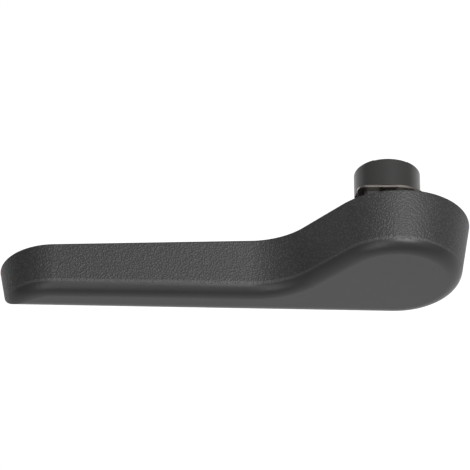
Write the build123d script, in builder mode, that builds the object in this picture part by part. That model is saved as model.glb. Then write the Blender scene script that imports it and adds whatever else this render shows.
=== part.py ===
from build123d import *
from math import acos, atan2, cos, degrees, hypot, radians, sin, tan
import os

# Car seat recliner lever, in millimetres.
# The origin is the centre of the collar's mouth. +Y runs along the shaft's axis towards the seat,
# so the outer face that the user sees looks towards -Y. The grip points to -X and +Z is up.

# Head and grip outline, measured on the flat outer face
head_radius = 23.15
head_offset = 2.45
grip_reach = 137.4
grip_bottom = 18.34
tip_arc_start = 120.5
tip_arc_drop = 5.32
neck_reach = 36.9
neck_drop = 7.9
neck_radius = 27.9

# Depth of the moulding, from the collar's mouth to the outer face and from the face to the rim
face_depth = 44.9
rim_height = 22.05
rim_tilt = 2.05
draft = 9.0
face_round = 5.3
rim_round = 0.5

# Moulded walls
wall = 2.5
floor_thickness = 2.8
rib_thickness = 1.6
rib_setback = 2.0
spine_bend_reach = 40.0
spine_bend_drop = 13.0
spine_tip_drop = 11.0
grip_rib_start = 43.0
grip_rib_pitch = 16.5
grip_rib_count = 6
head_rib_count = 6

# Collar and the seat's shaft
collar_radius = 12.0
collar_edge_bevel = 0.2
guide_diameter = 16.6
guide_depth = 10.6
drive_diameter = 15.8
drive_flats = 12.6
drive_start = 16.0
socket_end_wall = 2.0
shaft_clearance = 0.1
notch_width = 12.0
notch_depth = 0.3
notch_offset = 1.0

# Spring steel clip
clip_level = 11.9
clip_thickness = 0.8
clip_width = 2.3
clip_bend_radius = 10.75
clip_bend_offset = 3.2
clip_leg_reach = 9.95
clip_leg_end = 5.4
clip_corner_radius = 1.9
clip_eye_radius = 1.5
clip_eye_hole = 0.65
clip_eye_shift = 0.6
clip_tab_width = 6.0
clip_tab_reach = 0.8
clip_tab_round = 0.8
clip_clearance = 0.2
slot_height = 3.7
end_lug_width = 6.4

guide_radius = guide_diameter / 2 + shaft_clearance
drive_radius = drive_diameter / 2 + shaft_clearance
flat_spacing = drive_flats + 2 * shaft_clearance
socket_floor = face_depth - floor_thickness - socket_end_wall
tab_tip = drive_radius - clip_tab_reach
slot_start = clip_level - clip_thickness / 2 - clip_clearance
spine_angle = degrees(atan2(spine_bend_drop, spine_bend_reach))
slot_inset = clip_width / 2 + clip_clearance


# A plane across the shaft's axis, with local x along X and local y along Z. It faces the user, so
# an extrusion towards the seat has a negative amount.
def level(depth):
    return Plane(origin=(0, -depth, 0), x_dir=(1, 0, 0), z_dir=(0, -1, 0))


rim_plane = Plane(origin=(0, rim_height - face_depth, 0), z_dir=(0, 1, 0)).rotated((0, 0, rim_tilt))
rib_top_plane = rim_plane.offset(-rib_setback)


# The point where a straight edge from a corner touches the round head
def touch_point(corner, side):
    reach = hypot(corner[0] - head_offset, corner[1])
    turn = atan2(corner[1], corner[0] - head_offset) + side * acos(head_radius / reach)
    return (head_offset + head_radius * cos(turn), head_radius * sin(turn))


# Outline of the outer face: a round head, two tangent edges and one arc round the grip's tip
lower_corner = (-grip_reach, -grip_bottom)
neck_corner = (-neck_reach, -neck_drop)
with BuildSketch() as face_outline:
    with BuildLine():
        upper_edge = FilletPolyline(
            (-tip_arc_start, -tip_arc_drop),
            neck_corner,
            touch_point(neck_corner, -1),
            radius=neck_radius,
        )
        TangentArc(upper_edge @ 0, lower_corner, tangent=-(upper_edge % 0))
        lower_edge = Line(lower_corner, touch_point(lower_corner, 1))
        ThreePointArc(upper_edge @ 1, (head_offset + head_radius, 0), lower_edge @ 1)
    make_face()

# Outer form: the face outline drafted out to the slanted rim, with a soft edge round the face
with BuildPart() as outer_form:
    with BuildSketch(level(face_depth)):
        add(face_outline.sketch_local)
    extrude(amount=-2 * rim_height, taper=-draft)
    split(bisect_by=rim_plane, keep=Keep.BOTTOM)
    fillet(outer_form.faces().sort_by(Axis.Y)[0].edges(), face_round)
    fillet(outer_form.faces().sort_by(Axis.Y)[-1].edges(), rim_round)

# Hollow of the shell: the same outline set in by the wall, with the same draft
with BuildPart() as hollow:
    with BuildSketch(level(face_depth - floor_thickness)):
        add(face_outline.sketch_local)
        offset(amount=floor_thickness * tan(radians(draft)) - wall)
    extrude(amount=-2 * rim_height, taper=-draft)

# Ribs: a spine from the boss to the tip, cross ribs along the grip and spokes round the boss
with BuildPart() as ribs:
    with BuildSketch(level(face_depth - floor_thickness / 2)):
        with BuildLine():
            Polyline((0, 0), (-spine_bend_reach, -spine_bend_drop), (-grip_reach, -spine_tip_drop))
        trace(line_width=rib_thickness)
        for i in range(grip_rib_count):
            with Locations((-grip_rib_start - i * grip_rib_pitch, -grip_bottom / 2)):
                Rectangle(rib_thickness, 2 * grip_bottom)
        with PolarLocations(0, head_rib_count, start_angle=spine_angle):
            Rectangle(2 * head_radius, rib_thickness, align=(Align.MIN, Align.CENTER))
    extrude(amount=-2 * rim_height)
    split(bisect_by=rib_top_plane, keep=Keep.BOTTOM)
    add(outer_form.part, mode=Mode.INTERSECT)

# Spring clip: a flat horseshoe with two legs that end in eyes and two tabs that reach the shaft
clip_corner = (-clip_leg_reach, clip_bend_radius)
with BuildSketch() as clip_line_loop:
    with BuildLine():
        bend = CenterArc((clip_bend_offset, 0), clip_bend_radius, 0, 90)
        FilletPolyline(bend @ 1, clip_corner, (-clip_leg_reach, 0), radius=clip_corner_radius)
        Line((-clip_leg_reach, 0), bend @ 0)
    make_face()
    mirror(about=Plane.XZ)

with BuildPart() as retaining_clip:
    with BuildSketch(level(clip_level)):
        with BuildLine():
            bend = CenterArc((clip_bend_offset, 0), clip_bend_radius, 0, 90)
            FilletPolyline(
                bend @ 1, clip_corner, (-clip_leg_reach, clip_leg_end), radius=clip_corner_radius
            )
        trace(line_width=clip_width)
        with Locations((0, tab_tip)):
            tab = Rectangle(
                clip_tab_width, clip_bend_radius - tab_tip, align=(Align.CENTER, Align.MIN)
            )
        fillet(tab.vertices().group_by(Axis.Y)[0], clip_tab_round)
        with Locations((-clip_leg_reach - clip_eye_shift, clip_leg_end)):
            Circle(clip_eye_radius)
            Circle(clip_eye_hole, mode=Mode.SUBTRACT)
        mirror(about=Plane.XZ)
    extrude(amount=clip_thickness / 2, both=True)

# Lever: one moulding with its shell, ribs, boss and collar
with BuildPart() as lever_handle:
    add(outer_form.part)
    add(hollow.part, mode=Mode.SUBTRACT)
    add(ribs.part)
    with BuildSketch(level(face_depth - floor_thickness / 2)):
        Circle(collar_radius)
    extrude(amount=floor_thickness / 2 - face_depth)
    chamfer(lever_handle.edges().filter_by(GeomType.CIRCLE).sort_by(Axis.Y)[-1], collar_edge_bevel)
    with BuildSketch(level(0)):
        with Locations((notch_offset, guide_radius / 2)):
            Rectangle(notch_width, collar_radius, align=(Align.CENTER, Align.MIN))
    extrude(amount=notch_depth, mode=Mode.SUBTRACT)
    with BuildSketch(level(0)):
        Circle(guide_radius)
    extrude(amount=guide_depth, mode=Mode.SUBTRACT)
    with BuildSketch(level(0)):
        Circle(drive_radius)
    extrude(amount=drive_start, mode=Mode.SUBTRACT)
    with BuildSketch(level(0)):
        Circle(drive_radius)
        Rectangle(2 * drive_radius, flat_spacing, mode=Mode.INTERSECT)
    extrude(amount=socket_floor, mode=Mode.SUBTRACT)
    with BuildSketch(level(slot_start)):
        Circle(2 * collar_radius)
        offset(clip_line_loop.sketch_local, amount=-slot_inset, mode=Mode.SUBTRACT)
        with Locations((-clip_leg_reach, 0)):
            Rectangle(2 * clip_width, end_lug_width, mode=Mode.SUBTRACT)
        Rectangle(clip_tab_width + 2 * clip_clearance, 2 * collar_radius)
    extrude(amount=slot_height, mode=Mode.SUBTRACT)

os.makedirs("parts", exist_ok=True)
lever_handle.part.label = "lever_handle"
export_step(lever_handle.part, "parts/lever_handle.step")
retaining_clip.part.label = "retaining_clip"
export_step(retaining_clip.part, "parts/retaining_clip.step")
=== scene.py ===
import math

import bmesh
import bpy
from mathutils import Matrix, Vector


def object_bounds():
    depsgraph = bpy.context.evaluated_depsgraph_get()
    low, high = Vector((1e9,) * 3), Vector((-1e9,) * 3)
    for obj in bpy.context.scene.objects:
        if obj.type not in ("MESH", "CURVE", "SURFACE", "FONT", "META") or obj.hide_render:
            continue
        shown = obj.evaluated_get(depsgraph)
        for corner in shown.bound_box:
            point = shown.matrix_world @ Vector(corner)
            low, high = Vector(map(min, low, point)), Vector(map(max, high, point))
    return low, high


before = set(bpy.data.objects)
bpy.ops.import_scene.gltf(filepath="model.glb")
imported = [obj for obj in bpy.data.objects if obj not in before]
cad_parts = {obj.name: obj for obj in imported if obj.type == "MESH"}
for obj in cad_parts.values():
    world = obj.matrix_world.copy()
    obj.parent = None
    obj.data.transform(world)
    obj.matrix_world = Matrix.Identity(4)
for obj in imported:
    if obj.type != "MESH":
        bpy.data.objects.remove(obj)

cad_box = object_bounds()
MM = 0.001

# Camera: a long lens that looks down on the lever's edge wall and outer face together
PICTURE_PIXELS = 470
PIXEL_IN_MM = 0.3605
VIEW_WIDTH = PICTURE_PIXELS * PIXEL_IN_MM * MM
VIEW_ELEVATION = math.radians(57.8)
VIEW_DISTANCE = 1.55
VIEW_CENTRE = Vector((-55.0, -21.85, -5.25)) * MM
SENSOR_WIDTH = 36.0

# Lever regions. The collar is found by its radius round the shaft's axis and its depth. The rest
# goes by turn, which is how far a surface leans to the user: the draft gives the edge wall its
# turn, and the rounding takes over from there up to the flat outer face. The ridge is a painted
# highlight, a lighter band at the start of the rounding. Each pair of turns is where a region
# starts or stops to fade.
COLLAR_RADIUS = 12.0 * MM
COLLAR_DEPTH = 40.0 * MM
WALL_TURN = math.sin(math.radians(9.0))
OUTSIDE_STARTS = (0.4 * WALL_TURN, 0.8 * WALL_TURN)
GRAIN_ENDS = (0.27, 0.42)
# Turns where the ridge's painted highlight starts and stops.
RIDGE_HIGHLIGHT_STARTS = (WALL_TURN, 0.21)
RIDGE_HIGHLIGHT_ENDS = (0.28, 0.40)

# Floor and room, in metres and in shares of white
FLOOR_DROP = 0.22
FLOOR_RADIUS = 6.0
FLOOR_TONE = (0.86, 0.86, 0.86, 1)
FLOOR_GLOW = 0.56
ROOM_LEVEL = 0.115
WHITE = (1, 1, 1, 1)


class NodeSheet:
    """Adds nodes to a material or a node group and links them by plain calls."""

    def __init__(self, tree):
        self.tree = tree

    def put(self, target, value):
        if isinstance(value, bpy.types.NodeSocket):
            self.tree.links.new(value, target)
        else:
            target.default_value = value

    def node(self, kind, settings=None, **inputs):
        made = self.tree.nodes.new(kind)
        for name, value in (settings or {}).items():
            setattr(made, name, value)
        for name, value in inputs.items():
            self.put(made.inputs[name.replace("_", " ")], value)
        return made

    def math(self, operation, first, second=0.0, clamp=False):
        made = self.node("ShaderNodeMath", {"operation": operation, "use_clamp": clamp})
        self.put(made.inputs[0], first)
        self.put(made.inputs[1], second)
        return made.outputs[0]

    def product(self, first, second):
        return self.math("MULTIPLY", first, second)

    def vector_math(self, operation, first, second=(0.0, 0.0, 0.0)):
        made = self.node("ShaderNodeVectorMath", {"operation": operation})
        self.put(made.inputs[0], first)
        self.put(made.inputs[1], second)
        return made

    def rise(self, value, low, high, at_low=0.0, at_high=1.0):
        made = self.node("ShaderNodeMapRange", {"interpolation_type": "SMOOTHSTEP"})
        for name, number in (
            ("Value", value),
            ("From Min", low),
            ("From Max", high),
            ("To Min", at_low),
            ("To Max", at_high),
        ):
            self.put(made.inputs[name], number)
        return made.outputs["Result"]

    def fall(self, value, low, high):
        return self.rise(value, low, high, 1.0, 0.0)

    def mix_values(self, factor, first, second):
        made = self.node("ShaderNodeMix", {"data_type": "FLOAT"})
        self.put(made.inputs[0], factor)
        self.put(made.inputs[2], first)
        self.put(made.inputs[3], second)
        return made.outputs[0]

    def mix_colours(self, factor, first, second):
        made = self.node("ShaderNodeMix", {"data_type": "RGBA"})
        self.put(made.inputs[0], factor)
        self.put(made.inputs[6], first)
        self.put(made.inputs[7], second)
        return made.outputs[2]

    def noise(self, vector, scale, detail=2.0, roughness=0.5):
        made = self.node(
            "ShaderNodeTexNoise", Vector=vector, Scale=scale, Detail=detail, Roughness=roughness
        )
        return made.outputs[0]

    def smooth_cells(self, vector, scale, smoothness):
        made = self.node(
            "ShaderNodeTexVoronoi",
            {"feature": "SMOOTH_F1"},
            Vector=vector,
            Scale=scale,
            Smoothness=smoothness,
        )
        return made.outputs["Distance"]

    def place_group(self, group, **inputs):
        return self.node("ShaderNodeGroup", {"node_tree": group}, **inputs).outputs


def new_group(name, inputs, outputs):
    """A shader node group from input names with defaults, None for a vector, and output names."""
    group = bpy.data.node_groups.new(name, "ShaderNodeTree")
    for label, default in inputs.items():
        kind = "NodeSocketVector" if default is None else "NodeSocketFloat"
        socket = group.interface.new_socket(name=label, in_out="INPUT", socket_type=kind)
        if default is not None:
            socket.default_value = default
    for label in outputs:
        group.interface.new_socket(name=label, in_out="OUTPUT", socket_type="NodeSocketFloat")
    sheet = NodeSheet(group)
    start = sheet.node("NodeGroupInput")
    end = sheet.node("NodeGroupOutput")
    return group, sheet, start.outputs, end.inputs


def leather_grain_group():
    """Fine pebbled mould grain: a height for bump and a mask of the pebbles' tops."""
    group, sheet, given, result = new_group(
        "leather_grain",
        {"Vector": None, "Pebble Size": 0.7 * MM, "Warp": 0.35},
        ("Height", "Tops"),
    )
    place = given["Vector"]
    size = given["Pebble Size"]
    scale = sheet.math("DIVIDE", 1.0, size)
    wander = sheet.node("ShaderNodeTexNoise", Vector=place, Scale=scale, Detail=2.0)
    warp = sheet.vector_math("SCALE", wander.outputs["Color"])
    sheet.put(warp.inputs["Scale"], sheet.product(given["Warp"], size))
    warped = sheet.vector_math("ADD", place, warp.outputs[0]).outputs[0]

    pebble_share = 0.75
    fine_share = 0.45
    fine_per_pebble = 2.6
    cells = sheet.smooth_cells(warped, scale, 0.35)
    pebbles = sheet.product(sheet.fall(cells, 0.05, 0.75), pebble_share)
    fine = sheet.noise(place, sheet.product(scale, fine_per_pebble), 2.0, 0.6)
    height = sheet.math("ADD", pebbles, sheet.product(fine, fine_share))
    sheet.put(result["Height"], height)
    sheet.put(result["Tops"], sheet.rise(height, 0.62, 0.92))
    return group


def soft_mottle_group():
    """Slow, faint variation of a moulded or rolled surface, stretched along X."""
    group, sheet, given, result = new_group(
        "soft_mottle",
        {"Vector": None, "Patch Size": 12 * MM, "Stretch": 1.0},
        ("Value",),
    )
    place = sheet.node("ShaderNodeSeparateXYZ", Vector=given["Vector"]).outputs
    along = sheet.math("DIVIDE", place["X"], given["Stretch"])
    stretched = sheet.node("ShaderNodeCombineXYZ", X=along, Y=place["Y"], Z=place["Z"])
    scale = sheet.math("DIVIDE", 1.0, given["Patch Size"])
    sheet.put(result["Value"], sheet.noise(stretched.outputs[0], scale, 3.0, 0.55))
    return group


def edge_wear_and_highlight_group():
    """Mask of the sharp edges, broken up by noise, from the bevelled normal's turn. It marks worn
    edges that also get a painted highlight.
    """
    group, sheet, given, result = new_group(
        "edge_wear_and_highlight",
        {"Vector": None, "Width": 0.25 * MM, "Amount": 1.0, "Break Up": 0.4},
        ("Mask",),
    )
    bevelled = sheet.node("ShaderNodeBevel", {"samples": 6}, Radius=given["Width"]).outputs[0]
    normal = sheet.node("ShaderNodeNewGeometry").outputs["Normal"]
    agreement = sheet.vector_math("DOT_PRODUCT", bevelled, normal).outputs["Value"]
    edge = sheet.fall(agreement, 0.80, 0.99)
    gaps = sheet.rise(sheet.noise(given["Vector"], 900.0), 0.35, 0.65)
    kept = sheet.mix_values(given["Break Up"], 1.0, gaps)
    mask = sheet.math("MULTIPLY", sheet.product(edge, kept), given["Amount"], clamp=True)
    sheet.put(result["Mask"], mask)
    return group


def lever_regions_group():
    """Masks of the lever's surfaces: grained edge wall, the painted highlight band below it,
    collar and hollow back.
    """
    group, sheet, given, result = new_group(
        "lever_regions",
        {"Vector": None, "Normal": None},
        ("Wall", "Ridge Highlight", "Collar", "Inside"),
    )
    place = sheet.node("ShaderNodeSeparateXYZ", Vector=given["Vector"]).outputs
    depth = sheet.product(place["Y"], -1.0)
    flat = sheet.node("ShaderNodeCombineXYZ", X=place["X"], Z=place["Z"]).outputs[0]
    radius = sheet.vector_math("LENGTH", flat).outputs["Value"]
    near_shaft = sheet.fall(radius, COLLAR_RADIUS + 0.1 * MM, COLLAR_RADIUS + 0.3 * MM)
    behind_face = sheet.fall(depth, COLLAR_DEPTH, COLLAR_DEPTH + 0.5 * MM)
    collar = sheet.product(near_shaft, behind_face)
    beside_collar = sheet.math("SUBTRACT", 1.0, collar)

    normal = sheet.node("ShaderNodeSeparateXYZ", Vector=given["Normal"]).outputs
    turn = sheet.product(normal["Y"], -1.0)
    outside = sheet.product(sheet.rise(turn, *OUTSIDE_STARTS), beside_collar)
    wall = sheet.product(outside, sheet.fall(turn, *GRAIN_ENDS))
    # Ridge: the band where a painted highlight lightens the start of the rounding.
    ridge_highlight = sheet.product(sheet.rise(turn, *RIDGE_HIGHLIGHT_STARTS), sheet.fall(turn, *RIDGE_HIGHLIGHT_ENDS))
    sheet.put(result["Wall"], wall)
    sheet.put(result["Ridge Highlight"], sheet.product(ridge_highlight, beside_collar))
    sheet.put(result["Collar"], collar)
    sheet.put(result["Inside"], sheet.math("SUBTRACT", beside_collar, outside, clamp=True))
    return group


def new_material(name):
    material = bpy.data.materials.new(name)
    material.use_nodes = True
    material.node_tree.nodes.clear()
    sheet = NodeSheet(material.node_tree)
    shader = sheet.node("ShaderNodeBsdfPrincipled")
    sheet.node("ShaderNodeOutputMaterial", Surface=shader.outputs[0])
    return material, sheet, shader


def grained_moulding(grain, mottle, wear_and_highlight, regions):
    """Charcoal moulded plastic: grained edge wall with painted highlights on its pebble tops and
    on the band below it, satin outer face, smooth collar, worn edges with a painted highlight.
    """
    material, sheet, shader = new_material("grained_moulding")
    coords = sheet.node("ShaderNodeTexCoord").outputs
    place = coords["Object"]
    masks = sheet.place_group(regions, Vector=place, Normal=coords["Normal"])
    pebbles = sheet.place_group(grain, Vector=place)
    patches = sheet.place_group(mottle, Vector=place, Stretch=4.0)
    edges = sheet.place_group(wear_and_highlight, Vector=place)

    charcoal = (0.028, 0.028, 0.0275, 1)
    lighter = (0.034, 0.034, 0.0335, 1)
    collar_tone = (0.043, 0.0425, 0.0415, 1)
    # Painted highlight: a lighter tone for the pebble tops and the ridge band, where light catches
    # them.
    painted_highlight_tone = (0.066, 0.066, 0.066, 1)
    # Edge tone: wear together with a painted highlight on the sharp edges.
    worn_and_lit_edge = (0.085, 0.084, 0.083, 1)
    colour = sheet.mix_colours(patches["Value"], charcoal, lighter)
    # Painted highlights go on the pebble tops and the ridge band. The sharp edges get wear
    # together with a painted highlight.
    for mask, strength, tone in (
        (masks["Collar"], 1.0, collar_tone),
        (sheet.product(pebbles["Tops"], masks["Wall"]), 0.8, painted_highlight_tone),
        (masks["Ridge Highlight"], 0.5, painted_highlight_tone),
        (edges["Mask"], 0.7, worn_and_lit_edge),
    ):
        colour = sheet.mix_colours(sheet.product(mask, strength), colour, tone)
    sheet.put(shader.inputs["Base Color"], colour)
    sheet.put(shader.inputs["Specular IOR Level"], 0.43)

    roughness = sheet.mix_values(patches["Value"], 0.32, 0.42)
    for region, value in (("Wall", 0.50), ("Collar", 0.30), ("Inside", 0.55)):
        roughness = sheet.mix_values(masks[region], roughness, value)
    sheet.put(shader.inputs["Roughness"], roughness)

    grain_depth = 0.14 * MM
    satin_share = 0.08
    satin = sheet.noise(place, 2600.0, 3.0, 0.6)
    grained = sheet.product(pebbles["Height"], masks["Wall"])
    height = sheet.math("ADD", grained, sheet.product(satin, satin_share))
    bump = sheet.node("ShaderNodeBump", Height=height, Strength=0.9, Distance=grain_depth)
    sheet.put(shader.inputs["Normal"], bump.outputs[0])
    return material


def spring_steel(mottle, wear_and_highlight):
    """Oil-tempered spring steel, brown-grey, with a painted highlight along its sheared edges."""
    material, sheet, shader = new_material("spring_steel")
    place = sheet.node("ShaderNodeTexCoord").outputs["Object"]
    patches = sheet.place_group(mottle, Vector=place, Patch_Size=2.5 * MM)
    edges = sheet.place_group(wear_and_highlight, Vector=place, Width=0.12 * MM, Break_Up=0.3)

    tempered = (0.30, 0.265, 0.235, 1)
    paler = (0.46, 0.43, 0.40, 1)
    painted_edge_highlight = (0.74, 0.71, 0.68, 1)
    colour = sheet.mix_colours(patches["Value"], tempered, paler)
    # Painted highlight: the sheared edges are lightened where light catches them.
    colour = sheet.mix_colours(edges["Mask"], colour, painted_edge_highlight)
    sheet.put(shader.inputs["Base Color"], colour)
    sheet.put(shader.inputs["Metallic"], 1.0)
    sheet.put(shader.inputs["Roughness"], sheet.mix_values(patches["Value"], 0.30, 0.46))

    rolling_depth = 0.02 * MM
    rolled = sheet.noise(place, 5200.0)
    bump = sheet.node("ShaderNodeBump", Height=rolled, Strength=0.25, Distance=rolling_depth)
    sheet.put(shader.inputs["Normal"], bump.outputs[0])
    return material


def finish_nodes():
    """Gives both pieces their material. Neither gets a mesh of the scene's own."""
    grain = leather_grain_group()
    mottle = soft_mottle_group()
    wear_and_highlight = edge_wear_and_highlight_group()
    regions = lever_regions_group()
    finishes = {
        "lever_handle": grained_moulding(grain, mottle, wear_and_highlight, regions),
        "retaining_clip": spring_steel(mottle, wear_and_highlight),
    }
    for name, material in finishes.items():
        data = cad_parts[name].data
        data.materials.clear()
        data.materials.append(material)


def pale_floor():
    """White studio floor that the camera and gloss see as white, with the object's soft shadow."""
    material, sheet, shader = new_material("pale_floor")
    sheet.put(shader.inputs["Base Color"], FLOOR_TONE)
    sheet.put(shader.inputs["Roughness"], 0.9)
    rays = sheet.node("ShaderNodeLightPath").outputs
    seen = sheet.math("MAXIMUM", rays["Is Camera Ray"], rays["Is Glossy Ray"])
    seen = sheet.math("MAXIMUM", seen, rays["Is Transmission Ray"])
    sheet.put(shader.inputs["Emission Color"], WHITE)
    sheet.put(shader.inputs["Emission Strength"], sheet.product(seen, FLOOR_GLOW))
    return material


def make_floor(lowest):
    mesh = bmesh.new()
    bmesh.ops.create_circle(mesh, cap_ends=True, segments=96, radius=FLOOR_RADIUS)
    bmesh.ops.translate(mesh, verts=mesh.verts, vec=(0, 0, lowest - FLOOR_DROP))
    data = bpy.data.meshes.new("floor")
    mesh.to_mesh(data)
    mesh.free()
    floor = bpy.data.objects.new("floor", data)
    bpy.context.scene.collection.objects.link(floor)
    data.materials.append(pale_floor())


def make_room():
    """White to the camera, a dim grey room to the object, so that its rounded edges stay dark."""
    world = bpy.data.worlds.new("studio")
    world.use_nodes = True
    world.node_tree.nodes.clear()
    bpy.context.scene.world = world
    sheet = NodeSheet(world.node_tree)
    rays = sheet.node("ShaderNodeLightPath").outputs
    seen = sheet.math("MAXIMUM", rays["Is Camera Ray"], rays["Is Transmission Ray"])
    strength = sheet.mix_values(seen, ROOM_LEVEL, 1.0)
    background = sheet.node("ShaderNodeBackground", Color=WHITE, Strength=strength)
    sheet.node("ShaderNodeOutputWorld", Surface=background.outputs[0])


def soft_box(name, place, aim, width, height, power):
    data = bpy.data.lights.new(name, "AREA")
    data.shape = "RECTANGLE"
    data.size = width
    data.size_y = height
    data.energy = power
    lamp = bpy.data.objects.new(name, data)
    lamp.location = place
    lamp.rotation_euler = (Vector(aim) - Vector(place)).to_track_quat("-Z", "Y").to_euler()
    bpy.context.scene.collection.objects.link(lamp)


def make_lights():
    """A large light above the head's side, and a weak panel that lifts the grip's rounding."""
    soft_box(
        "top_light",
        place=(0.15, -0.07, 0.54),
        aim=(-0.02, -0.02, 0.0),
        width=0.38,
        height=0.30,
        power=3.65,
    )
    soft_box(
        "left_panel",
        place=(-0.20, -0.36, 0.28),
        aim=(-0.11, -0.03, 0.0),
        width=0.20,
        height=0.34,
        power=0.44,
    )


def make_camera():
    back = Vector((0, -math.cos(VIEW_ELEVATION), math.sin(VIEW_ELEVATION)))
    data = bpy.data.cameras.new("camera")
    data.sensor_width = SENSOR_WIDTH
    data.lens = SENSOR_WIDTH * VIEW_DISTANCE / VIEW_WIDTH
    data.clip_end = 20.0
    camera = bpy.data.objects.new("camera", data)
    camera.location = VIEW_CENTRE + back * VIEW_DISTANCE
    camera.rotation_euler = (-back).to_track_quat("-Z", "Y").to_euler()
    bpy.context.scene.collection.objects.link(camera)
    bpy.context.scene.camera = camera


finish_nodes()
make_floor(cad_box[0].z)
make_room()
make_lights()
make_camera()

bpy.context.scene.view_settings.view_transform = "Standard"
